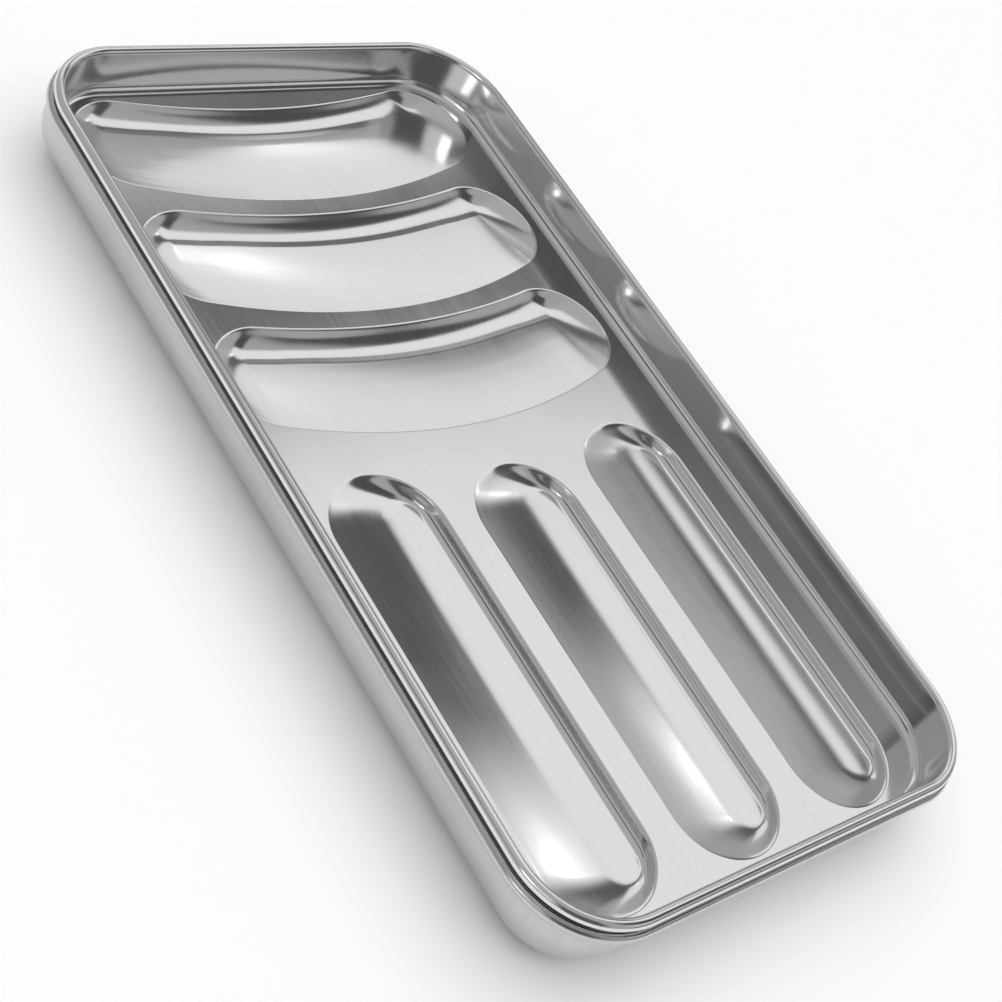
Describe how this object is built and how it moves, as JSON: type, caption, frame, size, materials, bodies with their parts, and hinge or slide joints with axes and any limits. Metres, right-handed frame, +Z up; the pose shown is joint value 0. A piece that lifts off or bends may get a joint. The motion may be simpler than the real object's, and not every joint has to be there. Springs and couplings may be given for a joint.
{
  "type": "pill counting tray",
  "caption": "Shallow two-piece steel tray: a rolled-rim insert with straight and curved troughs pressed into its floor, sitting in a plain outer pan.",
  "frame": {"origin": "centre of the outer pan's flat underside", "axes": "+Z up; +Y lengthwise towards the curved troughs; +X across, to the right when looking along +Y"},
  "size_m": [0.1014, 0.1814, 0.0168],
  "materials": {
    "polished_stainless": "polished",
    "satin_stainless": "satin"
  },
  "bodies": {
    "pan": {"outer_pan": "satin_stainless"},
    "tray": {"compartment_tray": "polished_stainless"}
  },
  "joints": [
    {"name": "tray_lift", "type": "slide", "parent": "pan", "child": "tray", "axis": [0, 0, 1], "range_m": [0, 0.03]}
  ]
}
